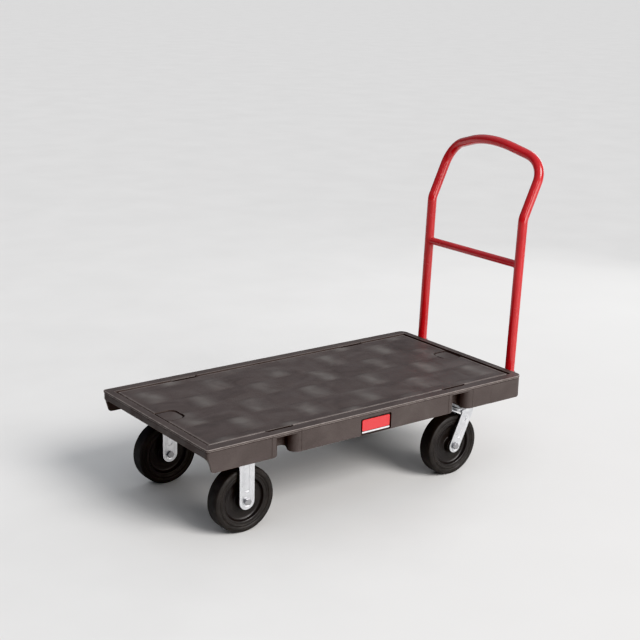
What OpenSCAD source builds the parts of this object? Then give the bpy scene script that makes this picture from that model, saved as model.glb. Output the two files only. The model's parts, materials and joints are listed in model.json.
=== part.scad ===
// Platform cart: a moulded resin deck on two rigid casters (front) and two
// swivel casters (rear), with a bent-tube push handle that lifts out of two
// sockets on the deck's rear face.
// +X points to the handle end, +Z is up and the floor is z = 0. Every module
// is drawn from the deck's centre line, and on_cart() puts it in the frame.

/* [Deck] */
// Length of the deck, front to rear
deck_l = 1219; // [1200:1:1240]
// Width of the deck
deck_w = 610; // [600:1:620]
// Height of the rim's top above the floor
deck_h = 312; // [311:0.5:314]
// Depth of the side skirts below the rim's top
skirt_h = 73; // [70:1:75]
// Depth of the lip across the front end
lip_h = 30; // [26:1:34]
// Wall thickness of the moulding
wall = 8; // [7:0.5:9]
// Thickness of the raised rim round the top
rim_t = 14; // [12:1:16]
// Height of the band round the rim's edge
band_h = 7; // [6:0.5:8]
// Overhang of the band past the skirts
band_step = 2; // [1.5:0.5:2.5]
// Width of the rim along each side
rim_side_w = 34; // [32:1:35]
// Width of the rim across each end
rim_end_w = 24; // [20:1:28]
// Thickness of the load-carrying plate inside the rim
field_t = 8; // [7:0.5:9]
// Plan radius of the two front corners
front_corner_r = 10; // [9:1:14]
// Plan radius of the two rear corners
rear_corner_r = 26; // [20:1:30]

/* [Rope notches] */
// Distance of each notch from the deck's middle, along its length
notch_x = 338; // [334:1:342]
// Width of each notch in the skirt
notch_w = 43; // [42:1:46]
// Depth of each notch in from the skirt's face
notch_depth = 50; // [48:1:52]
// Radius of the skirt's rounded ends at a notch
notch_end_r = 28; // [20:1:28]
// Length of the rope slot through the rim above a notch
slot_l = 96; // [80:1:100]
// Width of the rope slot
slot_w = 12; // [10:1:13]

/* [Casters] */
// Wheel diameter
wheel_d = 203.2; // [201:0.2:205]
// Wheel width
wheel_w = 50.8; // [48:0.2:52]
// Height of the casters' mounting face above the floor
caster_h = 242; // [242:0.5:244]
// Distance of the rigid casters' axles ahead of the deck's middle
rigid_x = 441; // [436:1:444]
// Distance of the swivel axes behind the deck's middle
swivel_x = 416; // [412:1:420]
// Distance that a swivel wheel trails ahead of its swivel axis
trail = 54; // [48:1:56]
// Distance of the rigid wheels from the centre line
rigid_y = 218; // [214:1:222]
// Distance of the swivel wheels from the centre line
swivel_y = 226; // [222:1:228]
// Axle bolt diameter
axle_d = 12.7; // [12:0.1:13]

/* [Handle] */
// Outside diameter of the handle tube
tube_d = 32; // [31:0.5:32]
// Wall thickness of the handle tube
tube_wall = 2.5; // [2:0.5:3]
// Distance between the two legs' centres
leg_spread = 443; // [436:1:446]
// Distance of the legs behind the deck's rear end, at the rim's height
leg_gap = 22; // [22:0.5:24]
// Rearward lean of the legs, in degrees
rake = 1.85; // [1.5:0.05:2.2]
// Height at which the legs kick back
kick_z = 813; // [780:1:840]
// Extra lean above the kick, in degrees
kick = 22.85; // [18:0.05:26]
// Length from the kick to the start of the top corners
upper_l = 127.5; // [110:0.5:140]
// Radius of the tube's centre line at the kick
kick_r = 60; // [50:1:80]
// Radius of the tube's centre line at the top corners
corner_r = 82; // [78:1:90]
// Slope of the top bar's two straights up to its crown, in degrees
crown = 18; // [15:1:20]
// Radius of the tube's centre line at the crown
crown_r = 312; // [260:1:330]
// Tilt of the crowned bar forward from the kicked-back legs, in degrees
crown_tilt = 57; // [50:1:60]
// Height of the crossbar
bar_z = 661; // [600:1:700]
// Outside diameter of the crossbar
bar_d = 25; // [22:0.5:28]

/* [Label] */
// Length of the blank side label
label_l = 106; // [100:1:112]
// Height of the blank side label
label_h = 42; // [38:1:44]
// Offset of the label from the deck's middle
label_x = -8; // [-12:1:12]

/* [Hidden] */
$fn = 64;
eps = 1;

CHARCOAL = [0.30, 0.28, 0.27];
RED = [0.78, 0.14, 0.17];
ZINC = [0.82, 0.83, 0.85];
STEEL = [0.58, 0.59, 0.61];
RUBBER = [0.11, 0.10, 0.10];
RESIN = [0.16, 0.15, 0.15];
BRASS = [0.72, 0.60, 0.32];
BLACK = [0.05, 0.05, 0.05];

// Deck levels and outlines
half_l = deck_l / 2;
half_w = deck_w / 2;
face_l = half_l - band_step;
face_w = half_w - band_step;
skirt_z = deck_h - skirt_h;
band_z = deck_h - band_h;
lip_z = deck_h - lip_h;
rim_z = deck_h - rim_t;
field_z = deck_h - 2;
field_bottom = field_z - field_t;
field_half_l = half_l - rim_end_w;
field_half_w = half_w - rim_side_w;
groove_w = 5;
groove_depth = 2.5;
notch_back_r = 12;
notch_wall_z = skirt_z + 11;
slot_y = half_w - 38;
front_draft_x = 6;
front_draft = 9;
lip_back = 24;
clear = 20;
front_round = 12;
rear_round = 20;
front_round_x = -half_l + front_draft_x + front_draft + front_round;
recess_l = 82;
recess_w = 80;
recess_r = 25;
recess_depth = 2;
label_recess = 2;
label_margin = 4;
label_t = 1.2;
label_z = skirt_z + 28;

// Ribs and stiffeners under the deck
rib_t = 6;
rib_h = 10;
rib_z = field_bottom - rib_h;
rib_pitch_x = 120;
rib_pitch_y = 98;
stiff_w = 40;
stiff_h = 25;
stiff_t = 3;
stiff_y = 220;
stiff_x0 = -372;
stiff_x1 = 350;
stiff_screw_x = [-345, -120, 120, 320];
screw_d = 6;
screw_boss_d = 18;
screw_l = 13;
screw_head_d = 12;
screw_head_h = 4;
slip = 0.2;

// Caster hardware
wheel_r = wheel_d / 2;
axle_z = wheel_r;
plate_l = 102;
plate_w = 114;
plate_t = 6;
plate_z = caster_h - plate_t;
pocket_gap = 3;
pocket_h = 10;
hole_dx = 66.6;
hole_dy = 92;
bolt_d = 9.5;
bolt_hole_d = 10.4;
bolt_l = 30;
bolt_head_h = 6;
bolt_head_d = 16;
washer_d = 20;
washer_t = 2;
insert_d = 15;
insert_h = 30;
boss_d = 26;
pad_l = 110;
pad_w = 122;
fork_gap = 60;
fork_t = 5;
rigid_leg_r = 25.5;
swivel_leg_r = 22;
swivel_lean = 24.5;
web_t = 7;
race_d = 76;
race_z = 224.5;
base_top_z = 221.5;
base_bottom_z = 211;
ball_ring_r = 30;
ball_d = 8;
ball_z = 223;
ball_count = 18;
kingpin_d = 16;
kingpin_head_d = 26;
kingpin_head_h = 5;
kingpin_nut_h = 8;
kingpin_nut_z = base_bottom_z - 2.6 - kingpin_nut_h;
kingpin_tail = 0.4;
yoke_rear = 18;
yoke_below = 2;
yoke_above = 6;
running_gap = 0.05;
race_gap = 0.3;
fork_race_gap = 0.1;
axle_slip = 0.15;
sleeve_slip = 0.1;
axle_head_h = 8;
axle_tail = 4;
sleeve_d = 16;
bearing_d = 24;
hub_l = 56;
hub_d = 50;
hub_web_t = 22;
hub_chamfer = 2;
hub_slope = 4;
rim_in_r = 67;
rim_out_r = 76;
core_w = 43;
tyre_shoulder = 7;
nut_d = 22;
nut_h = 10;
flange_d = 25;
flange_t = 2;

// Handle and sockets
lean = rake + kick;
leg_y = leg_spread / 2;
tube_r = tube_d / 2;
foot_z = 246;
plug_t = 3;
plug_l = 20;
plug_inset = 0.3;
socket_r = 19.5;
socket_gap = 0.4;
socket_bore_r = tube_r + socket_gap;
socket_below = 16;
socket_l = 68;
socket_plate_t = 6;
socket_plate_w = 108;
socket_plate_z0 = 250;
socket_plate_z1 = 304;
socket_bolt_dy = 76;
socket_bolt_z = 277;
m8_r = 4;
m8_head_d = 15;
m8_head_h = 5.5;
m8_nut_h = 6.5;
m8_washer_d = 18;
m8_washer_t = 1.5;
m8_tail = 2;
stop_bolt_l = 55;
stop_head_d = 14;
stop_head_h = 6;
leg_x = half_l + leg_gap;
foot_x = leg_x - (deck_h - foot_z) * tan(rake);
bar_x = leg_x + (bar_z - deck_h) * tan(rake);
kick_x = leg_x + (kick_z - deck_h) * tan(rake);

// A top corner turns by corner_a, partly forward, onto the slope of the bar
slope_fwd = sin(crown) * sin(crown_tilt);
corner_a = acos(sin(crown) * cos(crown_tilt));
corner_turn = atan2(-cos(crown), -slope_fwd);
corner_side = corner_r * (1 - cos(corner_a)) / sin(corner_a);
slope_l = (leg_y - corner_side * cos(crown) - crown_r * sin(crown)) / cos(crown);

// The handle reaches furthest back where its top corners have turned by far_turn
far_fwd = slope_fwd / sin(corner_a);
far_turn = atan2(sin(lean), cos(lean) * far_fwd);
reach = kick_x - half_l + (upper_l + corner_r * sin(far_turn)) * sin(lean)
    - corner_r * (1 - cos(far_turn)) * far_fwd * cos(lean) + tube_r;
tube_lap = 0.3;
bend_swell = 0.1;

// The frame's origin is on the floor under the middle of the whole footprint
deck_cx = -round(reach / 2);

SIDES = ["left", "right"];
RIGID_PARTS = ["fork", "mount_bolts", "axle_bolt", "axle_nut", "axle_sleeve", "bearing", "hub", "tyre"];
SWIVEL_PARTS = concat(["top_plate", "kingpin", "kingpin_nut", "swivel_balls"], RIGID_PARTS);

// ---- Helpers -------------------------------------------------------------

function arc(cx, cy, r, a0, a1, n = 6) =
    [for (i = [0:n]) let (a = a0 + (a1 - a0) * i / n) [cx + r * cos(a), cy + r * sin(a)]];

function side_sign(side) = side == "left" ? -1 : 1;

module on_cart() {
    translate([deck_cx, 0, 0]) children();
}

// Extrudes an X-Z outline along Y, from y0 to y1
module slab_y(points, y0, y1) {
    translate([0, y1, 0]) rotate([90, 0, 0]) linear_extrude(y1 - y0) polygon(points);
}

// A box given by its lowest and highest corners
module block(low, high) {
    translate(low) cube(high - low);
}

// A cylinder along Y, centred on y = 0
module rod_y(l, r) {
    rotate([90, 0, 0]) cylinder(h = l, r = r, center = true);
}

module hex(d, h) {
    cylinder(h = h, d = d, $fn = 6);
}

// ---- Deck ----------------------------------------------------------------

// One rounded corner of the rim's outline, set in by inset
function plan_corner(sx, sy, r, inset, a0) =
    let (ri = max(r - inset, 1))
    arc(sx * (half_l - inset - ri), sy * (half_w - inset - ri), ri, a0, a0 + 90);

// One notch in the left skirt, from front to rear, set in from the skirt's face
function plan_notch(cx, inset) = concat(
    arc(cx - notch_w / 2 - notch_end_r, notch_end_r - face_w, notch_end_r - inset, 270, 360),
    arc(cx - notch_w / 2 + notch_back_r, notch_depth - notch_back_r - face_w, notch_back_r + inset, 180, 90),
    arc(cx + notch_w / 2 - notch_back_r, notch_depth - notch_back_r - face_w, notch_back_r + inset, 90, 0),
    arc(cx + notch_w / 2 + notch_end_r, notch_end_r - face_w, notch_end_r - inset, 180, 270)
);

function left_side(inset) = concat(plan_notch(-notch_x, inset), plan_notch(notch_x, inset));

function rim_outline(inset) = concat(
    plan_corner(-1, -1, front_corner_r, inset, 180),
    plan_corner(1, -1, rear_corner_r, inset, 270),
    plan_corner(1, 1, rear_corner_r, inset, 0),
    plan_corner(-1, 1, front_corner_r, inset, 90)
);

// The skirts' outline, set in from their outer face
function skirt_outline(inset) = concat(
    plan_corner(-1, -1, front_corner_r, band_step + inset, 180),
    left_side(inset),
    plan_corner(1, -1, rear_corner_r, band_step + inset, 270),
    plan_corner(1, 1, rear_corner_r, band_step + inset, 0),
    [for (p = left_side(inset)) -p],
    plan_corner(-1, 1, front_corner_r, band_step + inset, 90)
);

module field_area(inset = 0) {
    square([2 * (field_half_l - inset), 2 * (field_half_w - inset)], center = true);
}

module rim_ring(z0, z1, inset) {
    translate([0, 0, z0]) linear_extrude(z1 - z0) difference() {
        polygon(rim_outline(inset));
        field_area();
    }
}

module rim() {
    rim_ring(rim_z, band_z + eps, band_step);
    rim_ring(band_z, deck_h, 0);
}

module field() {
    translate([0, 0, field_bottom]) linear_extrude(field_t) field_area(-eps);
}

module skirt() {
    difference() {
        translate([0, 0, skirt_z]) linear_extrude(rim_z - skirt_z + eps) difference() {
            polygon(skirt_outline(0));
            polygon(skirt_outline(wall));
        }
        // Room for the caster plates where they reach under a notch's wall
        for (spot = caster_spots()) translate([spot.x, spot.y, caster_h - pocket_h / 2 + eps])
            cube([plate_l + 2 * pocket_gap, plate_w + 2 * pocket_gap, pocket_h], center = true);
    }
}

module ribs() {
    inner_l = face_l - wall + eps;
    inner_w = face_w - wall + eps;
    top = field_bottom + eps;
    for (i = [-2:2])
        block([-inner_l, i * rib_pitch_y - rib_t / 2, rib_z], [inner_l, i * rib_pitch_y + rib_t / 2, top]);
    for (i = [-5:4])
        translate([(i + 0.5) * rib_pitch_x, 0, 0])
            block([-rib_t / 2, -inner_w, rib_z], [rib_t / 2, inner_w, top]);
}

// Centres of the four caster mounts
function caster_spots() = concat(
    [for (side = SIDES) [-rigid_x, side_sign(side) * rigid_y]],
    [for (side = SIDES) [swivel_x, side_sign(side) * swivel_y]]
);

module at_caster_holes() {
    for (sx = [-1, 1], sy = [-1, 1]) translate([sx * hole_dx / 2, sy * hole_dy / 2, 0]) children();
}

// Open box with four bosses that a caster's plate bolts to
module caster_pad() {
    pad_h = field_bottom + eps - caster_h;
    translate([0, 0, caster_h]) {
        difference() {
            translate([0, 0, pad_h / 2]) cube([pad_l, pad_w, pad_h], center = true);
            translate([0, 0, pad_h / 2 - eps])
                cube([pad_l - 2 * wall, pad_w - 2 * wall, pad_h + eps], center = true);
        }
        at_caster_holes() cylinder(h = pad_h, d = boss_d);
    }
}

function front_relief() = concat(
    [[-half_l - clear, lip_z], [-half_l + front_draft_x, lip_z]],
    arc(front_round_x, skirt_z + front_round, front_round, 180, 270, 5),
    [[front_round_x, skirt_z - clear], [-half_l - clear, skirt_z - clear]]
);

function rear_relief() = concat(
    arc(half_l - rear_round, skirt_z + rear_round, rear_round, 270, 360, 6),
    [[half_l + clear, skirt_z + rear_round], [half_l + clear, skirt_z - clear],
     [half_l - rear_round, skirt_z - clear]]
);

// Shallow D-shaped dish at one end of the field
module end_dish() {
    x1 = recess_l - recess_r;
    y1 = recess_w / 2 - recess_r;
    translate([-field_half_l, 0, field_z - recess_depth]) linear_extrude(recess_depth + eps)
        polygon(concat(
            [[0, -recess_w / 2]],
            arc(x1, -y1, recess_r, 270, 360),
            arc(x1, y1, recess_r, 0, 90),
            [[0, recess_w / 2]]
        ));
}

module deck_cuts() {
    slab_y(front_relief(), -half_w - eps, half_w + eps);
    slab_y(rear_relief(), -half_w - eps, half_w + eps);
    // Below the front lip only the side skirts carry on down
    block([-half_l - eps, wall - face_w, skirt_z - eps], [lip_back - half_l, face_w - wall, lip_z]);
    // Groove where the field meets the rim
    translate([0, 0, field_z - groove_depth]) linear_extrude(groove_depth + eps) difference() {
        field_area();
        field_area(groove_w);
    }
    for (sx = [-1, 1], sy = [-1, 1]) translate([sx * notch_x, 0, 0]) {
        block([-slot_l / 2, sy * slot_y - slot_w / 2, rib_z - eps],
              [slot_l / 2, sy * slot_y + slot_w / 2, deck_h + eps]);
        translate([0, sy * (face_w - notch_depth), skirt_z])
            cube([notch_w + 2 * wall + 4 * eps, 3 * wall, 2 * (notch_wall_z - skirt_z)], center = true);
    }
    for (spot = caster_spots()) translate([spot.x, spot.y, caster_h - eps])
        at_caster_holes() cylinder(h = insert_h + eps, d = insert_d);
    for (sy = [-1, 1], x = stiff_screw_x) translate([x, sy * stiff_y, rib_z - eps])
        cylinder(h = screw_l + eps, d = screw_d);
    for (sy = [-1, 1]) at_socket_bolts(sy) translate([0, 0, -2 * wall])
        cylinder(h = 3 * wall, r = m8_r + slip);
    translate([label_x, (label_recess - eps) / 2 - face_w, label_z])
        cube([label_l + 2 * label_margin, label_recess + eps, label_h + 2 * label_margin], center = true);
    end_dish();
    mirror([1, 0, 0]) end_dish();
}

module deck() {
    color(CHARCOAL) difference() {
        union() {
            rim();
            field();
            skirt();
            ribs();
            for (spot = caster_spots()) translate([spot.x, spot.y, 0]) caster_pad();
            for (sy = [-1, 1], x = stiff_screw_x) translate([x, sy * stiff_y, rib_z])
                cylinder(h = rib_h + eps, d = screw_boss_d);
        }
        deck_cuts();
    }
}

module label_plate() {
    color(RED) translate([label_x, label_recess - face_w - label_t / 2, label_z])
        cube([label_l, label_t, label_h], center = true);
}

// Steel channel, open downwards, under one side of the deck
module stiffener(side) {
    color(STEEL) translate([0, side_sign(side) * stiff_y, 0]) difference() {
        block([stiff_x0, -stiff_w / 2, rib_z - stiff_h], [stiff_x1, stiff_w / 2, rib_z]);
        block([stiff_x0 - eps, stiff_t - stiff_w / 2, rib_z - stiff_h - eps],
              [stiff_x1 + eps, stiff_w / 2 - stiff_t, rib_z - stiff_t]);
        for (x = stiff_screw_x) translate([x, 0, rib_z - stiff_t - eps])
            cylinder(h = stiff_t + 2 * eps, d = screw_d + 2 * slip);
    }
}

module stiffener_screws() {
    color(ZINC) for (sy = [-1, 1], x = stiff_screw_x) translate([x, sy * stiff_y, rib_z - stiff_t]) {
        cylinder(h = stiff_t + screw_l - 2 * eps, d = screw_d - slip);
        translate([0, 0, -screw_head_h]) cylinder(h = screw_head_h, d = screw_head_d);
    }
}

module bolt_inserts() {
    color(BRASS) for (spot = caster_spots()) translate([spot.x, spot.y, caster_h]) at_caster_holes()
        difference() {
            cylinder(h = insert_h, d = insert_d);
            translate([0, 0, -eps]) cylinder(h = insert_h + 2 * eps, d = bolt_d + slip);
        }
}

// ---- Caster mounting -----------------------------------------------------

module mount_plate() {
    translate([0, 0, plate_z + plate_t / 2]) cube([plate_l, plate_w, plate_t], center = true);
}

module plate_holes() {
    at_caster_holes() translate([0, 0, plate_z - eps]) cylinder(h = plate_t + 2 * eps, d = bolt_hole_d);
}

module mount_bolts() {
    color(ZINC) at_caster_holes() translate([0, 0, plate_z - washer_t]) {
        cylinder(h = washer_t, d = washer_d);
        cylinder(h = washer_t + bolt_l, d = bolt_d);
        translate([0, 0, -bolt_head_h]) hex(bolt_head_d, bolt_head_h);
    }
}

// ---- Forks ---------------------------------------------------------------

// Side outline of a fork leg about its axle: a round end of radius r and two
// straight edges that lean back by tilt up to z = top. The rear edge turns
// upright at x = limit.
function edge_x(side, r, tilt, z) = side * r * cos(tilt) + (z + side * r * sin(tilt)) * tan(tilt);

function leg_outline(r, tilt, top, limit) =
    let (knee = (limit - r * cos(tilt)) / max(tan(tilt), 0.01) - r * sin(tilt))
    concat(
        [[edge_x(-1, r, tilt, top), top]],
        arc(0, 0, r, 180 - tilt, 360 - tilt, 14),
        tilt > 0 ? [[limit, knee], [limit, top]] : [[r, top]]
    );

module fork_legs(r, tilt, top, limit) {
    for (sy = [-1, 1]) {
        y0 = sy > 0 ? fork_gap / 2 : -fork_gap / 2 - fork_t;
        translate([0, 0, axle_z]) slab_y(leg_outline(r, tilt, top - axle_z, limit), y0, y0 + fork_t);
    }
}

module axle_hole() {
    translate([0, 0, axle_z]) rod_y(fork_gap + 4 * fork_t, axle_d / 2 + axle_slip);
}

module rigid_fork() {
    color(ZINC) difference() {
        union() {
            mount_plate();
            block([-rigid_leg_r, -fork_gap / 2 - fork_t, plate_z - web_t],
                  [rigid_leg_r, fork_gap / 2 + fork_t, plate_z + eps]);
            fork_legs(rigid_leg_r, 0, plate_z, rigid_leg_r);
        }
        plate_holes();
        axle_hole();
    }
}

// The ring that the balls run in, cut from both races
module ball_groove(gap) {
    translate([0, 0, ball_z]) rotate_extrude() translate([ball_ring_r, 0])
        circle(r = ball_d / 2 + gap, $fn = 32);
}

module swivel_top_plate() {
    color(ZINC) difference() {
        union() {
            mount_plate();
            translate([0, 0, race_z]) cylinder(h = plate_z - race_z + eps, d = race_d);
        }
        plate_holes();
        ball_groove(race_gap);
        translate([0, 0, race_z - eps]) cylinder(h = caster_h - race_z + 2 * eps, d = kingpin_d);
    }
}

module swivel_balls() {
    color(STEEL) for (i = [0:ball_count - 1]) rotate([0, 0, i * 360 / ball_count])
        translate([ball_ring_r, 0, ball_z]) sphere(d = ball_d, $fn = 32);
}

module kingpin() {
    bottom = kingpin_nut_z - kingpin_tail;
    color(ZINC) {
        translate([0, 0, caster_h]) cylinder(h = kingpin_head_h, d = kingpin_head_d);
        translate([0, 0, bottom]) cylinder(h = caster_h - bottom, d = kingpin_d);
    }
}

module kingpin_nut() {
    color(ZINC) translate([0, 0, kingpin_nut_z]) difference() {
        hex(kingpin_head_d, kingpin_nut_h);
        translate([0, 0, -eps]) cylinder(h = kingpin_nut_h + 2 * eps, d = kingpin_d);
    }
}

// Yoke that turns about the kingpin and leans back to the trailing axle
module swivel_fork() {
    head_front = edge_x(-1, swivel_leg_r, swivel_lean, base_bottom_z - axle_z) - trail;
    color(ZINC) difference() {
        union() {
            translate([0, 0, base_bottom_z]) cylinder(h = base_top_z - base_bottom_z, d = race_d);
            block([head_front, -fork_gap / 2 - fork_t, base_bottom_z - yoke_below],
                  [yoke_rear, fork_gap / 2 + fork_t, base_bottom_z + yoke_above]);
            translate([-trail, 0, 0])
                fork_legs(swivel_leg_r, swivel_lean, base_bottom_z + yoke_above, trail + yoke_rear);
        }
        ball_groove(fork_race_gap);
        translate([0, 0, base_bottom_z - yoke_below - eps])
            cylinder(h = base_top_z - base_bottom_z + yoke_below + 2 * eps, r = kingpin_d / 2 + running_gap);
        translate([-trail, 0, 0]) axle_hole();
    }
}

// ---- Axle and wheel, drawn with the axle over x = 0 ----------------------

module axle_bolt() {
    grip = fork_gap / 2 + fork_t;
    color(ZINC) translate([0, 0, axle_z]) rotate([90, 0, 0]) {
        translate([0, 0, -grip - nut_h - axle_tail]) cylinder(h = 2 * grip + nut_h + axle_tail, d = axle_d);
        translate([0, 0, grip]) hex(nut_d, axle_head_h);
    }
}

module axle_nut() {
    grip = fork_gap / 2 + fork_t;
    color(STEEL) translate([0, grip, axle_z]) rotate([-90, 0, 0]) difference() {
        union() {
            cylinder(h = flange_t, d = flange_d);
            translate([0, 0, flange_t]) hex(nut_d, nut_h);
        }
        translate([0, 0, -eps]) cylinder(h = nut_h + flange_t + 2 * eps, d = axle_d);
    }
}

module axle_sleeve() {
    color(STEEL) translate([0, 0, axle_z]) difference() {
        rod_y(fork_gap, sleeve_d / 2 - running_gap);
        rod_y(fork_gap + 2 * eps, axle_d / 2 + sleeve_slip);
    }
}

module bearing() {
    color(BRASS) translate([0, 0, axle_z]) difference() {
        rod_y(hub_l, bearing_d / 2);
        rod_y(hub_l + 2 * eps, sleeve_d / 2);
    }
}

// Turns an r-y half section about the axle
module turned(points) {
    translate([0, 0, axle_z]) rotate([90, 0, 0]) rotate_extrude($fn = 96) polygon(points);
}

module hub() {
    half = [
        [bearing_d / 2, hub_l / 2], [hub_d / 2 - hub_chamfer, hub_l / 2],
        [hub_d / 2, hub_l / 2 - hub_chamfer], [hub_d / 2 + hub_slope, hub_web_t / 2],
        [rim_in_r - hub_slope, hub_web_t / 2], [rim_in_r, core_w / 2], [rim_out_r, core_w / 2]
    ];
    color(RESIN) turned([
        for (side = [-1, 1], p = side < 0 ? half : [for (i = [len(half) - 1:-1:0]) half[i]])
            [p.x, side * p.y]
    ]);
}

module tyre() {
    s = tyre_shoulder;
    color(RUBBER) turned(concat(
        [[rim_out_r, -core_w / 2 - 1]],
        arc(wheel_r - s, s - wheel_w / 2, s, 270, 360, 5),
        arc(wheel_r - s, wheel_w / 2 - s, s, 0, 90, 5),
        [[rim_out_r, core_w / 2 + 1]]
    ));
}

// ---- Handle --------------------------------------------------------------

// A straight tube run. It laps a hair into the bends at its ends, and its
// children start where it ends.
module run(l, r, lap_below = tube_lap) {
    translate([0, 0, -lap_below]) cylinder(h = l + lap_below + tube_lap, r = r);
    translate([0, 0, l]) children();
}

// An arc of tube that starts at the origin and bends from +Z towards +X
module tube_arc(bend_r, a, r) {
    translate([bend_r, 0, 0]) rotate([90, 0, 180])
        rotate_extrude(angle = a, $fn = 120) translate([bend_r, 0]) circle(r = r, $fn = 64);
}

// A bend towards +X by angle a, swollen a hair; its children start where it ends
module bend(bend_r, a, r) {
    tube_arc(bend_r, a, r + bend_swell);
    translate([bend_r * (1 - cos(a)), 0, bend_r * sin(a)]) rotate([0, a, 0]) children();
}

// Centre-line frame of one leg, from its foot
module at_leg(sy) {
    translate([foot_x, sy * leg_y, foot_z]) rotate([0, rake, 0]) children();
}

// One side of the handle, from the foot of the right leg up to the crown of the top bar
module side_bow(r, lap_below) {
    cut = kick_r * tan(kick / 2);
    leg_l = (kick_z - foot_z) / cos(rake);
    at_leg(1) run(leg_l - cut, r, lap_below) bend(kick_r, kick, r) run(upper_l - cut, r)
        rotate([0, 0, corner_turn]) bend(corner_r, corner_a, r) run(slope_l, r);
}

// The bend at the middle of the top bar, which joins its two slopes
module crown_bend(r) {
    corner_end = [-corner_side * slope_fwd, 0, upper_l + corner_r * sin(corner_a)];
    translate([kick_x, 0, kick_z]) rotate([0, lean, 0]) translate(corner_end) rotate([0, -crown_tilt, 0])
        translate([0, 0, slope_l * sin(crown) - crown_r * cos(crown)]) rotate([90, 0, 90])
            rotate([0, 0, 90 - crown]) rotate_extrude(angle = 2 * crown, $fn = 720)
                translate([crown_r, 0]) circle(r = r + bend_swell, $fn = 64);
}

module bow(r, lap_below) {
    side_bow(r, lap_below);
    mirror([0, 1, 0]) side_bow(r, lap_below);
    crown_bend(r);
}

module handle_tube() {
    color(RED) difference() {
        bow(tube_r, 0);
        bow(tube_r - tube_wall, eps);
    }
}

// Crossbar, coped to fit round the two legs
module handle_crossbar() {
    color(RED) difference() {
        translate([bar_x, 0, bar_z]) rod_y(leg_spread, bar_d / 2);
        for (sy = [-1, 1]) at_leg(sy) cylinder(h = kick_z - foot_z - kick_r, r = tube_r);
    }
}

module handle_end_plugs() {
    color(BLACK) for (sy = [-1, 1]) at_leg(sy) {
        translate([0, 0, -plug_t]) cylinder(h = plug_t, r = tube_r - plug_inset);
        cylinder(h = plug_l, r = tube_r - tube_wall);
    }
}

// ---- Handle sockets ------------------------------------------------------

module at_socket_bolts(sy) {
    for (dy = [-1, 1]) translate([face_l, sy * leg_y + dy * socket_bolt_dy / 2, socket_bolt_z])
        rotate([0, 90, 0]) children();
}

module at_stop_bolt(sy) {
    at_leg(sy) translate([0, 0, -plug_t - m8_r - plug_inset]) children();
}

module socket(side) {
    sy = side_sign(side);
    color(STEEL) difference() {
        union() {
            block([face_l, sy * leg_y - socket_plate_w / 2, socket_plate_z0],
                  [face_l + socket_plate_t, sy * leg_y + socket_plate_w / 2, socket_plate_z1]);
            at_leg(sy) translate([0, 0, -socket_below]) cylinder(h = socket_l, r = socket_r);
        }
        at_leg(sy) translate([0, 0, -socket_below - eps]) cylinder(h = socket_l + 2 * eps, r = socket_bore_r);
        at_socket_bolts(sy) translate([0, 0, -eps]) cylinder(h = socket_plate_t + 2 * eps, r = m8_r + slip);
        at_stop_bolt(sy) rod_y(4 * socket_r, m8_r);
    }
}

module socket_bolts() {
    color(ZINC) for (sy = [-1, 1]) at_socket_bolts(sy) {
        tail = wall + m8_washer_t + m8_nut_h + m8_tail;
        translate([0, 0, -tail]) cylinder(h = tail + socket_plate_t, r = m8_r);
        translate([0, 0, socket_plate_t]) hex(m8_head_d, m8_head_h);
    }
}

module socket_nuts() {
    color(ZINC) for (sy = [-1, 1]) at_socket_bolts(sy) translate([0, 0, -wall - m8_nut_h - m8_washer_t])
        difference() {
            union() {
                translate([0, 0, m8_nut_h]) cylinder(h = m8_washer_t, d = m8_washer_d);
                hex(m8_head_d, m8_nut_h);
            }
            translate([0, 0, -eps]) cylinder(h = m8_nut_h + m8_washer_t + 2 * eps, r = m8_r);
        }
}

// Bolts across the sockets that the handle's feet stand on
module handle_stop_bolts() {
    color(ZINC) for (sy = [-1, 1]) at_stop_bolt(sy) {
        rod_y(stop_bolt_l, m8_r);
        for (end = [-1, 1]) translate([0, end * (socket_r + stop_head_h / 2), 0]) rotate([90, 0, 0])
            translate([0, 0, -stop_head_h / 2]) hex(stop_head_d, stop_head_h);
    }
}

// ---- Nodes ---------------------------------------------------------------

module wheel_part(part) {
    if (part == "axle_bolt") axle_bolt();
    if (part == "axle_nut") axle_nut();
    if (part == "axle_sleeve") axle_sleeve();
    if (part == "bearing") bearing();
    if (part == "hub") hub();
    if (part == "tyre") tyre();
}

module rigid_part(part, side) {
    translate([-rigid_x, side_sign(side) * rigid_y, 0]) {
        if (part == "fork") rigid_fork();
        if (part == "mount_bolts") mount_bolts();
        wheel_part(part);
    }
}

module swivel_part(part, side) {
    translate([swivel_x, side_sign(side) * swivel_y, 0]) {
        if (part == "top_plate") swivel_top_plate();
        if (part == "kingpin") kingpin();
        if (part == "kingpin_nut") kingpin_nut();
        if (part == "swivel_balls") swivel_balls();
        if (part == "fork") swivel_fork();
        if (part == "mount_bolts") mount_bolts();
        translate([-trail, 0, 0]) wheel_part(part);
    }
}

on_cart() deck();
on_cart() label_plate();
on_cart() stiffener("left");  // left_stiffener
on_cart() stiffener("right");  // right_stiffener
on_cart() stiffener_screws();
on_cart() bolt_inserts();
on_cart() socket("left");  // left_socket
on_cart() socket("right");  // right_socket
on_cart() socket_bolts();
on_cart() socket_nuts();
on_cart() handle_stop_bolts();
on_cart() handle_tube();
on_cart() handle_crossbar();
on_cart() handle_end_plugs();
for (side = SIDES, part = RIGID_PARTS)
    on_cart() rigid_part(part, side);
for (side = SIDES, part = SWIVEL_PARTS)
    on_cart() swivel_part(part, side);
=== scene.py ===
# Looks of the platform cart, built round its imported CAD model.
# Shapes are written in millimetres from the point on the floor under the deck's middle.
# placed() turns them into metres in the cart's own frame.
import json
import math

import bmesh
import bpy
from mathutils import Matrix, Vector

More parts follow.
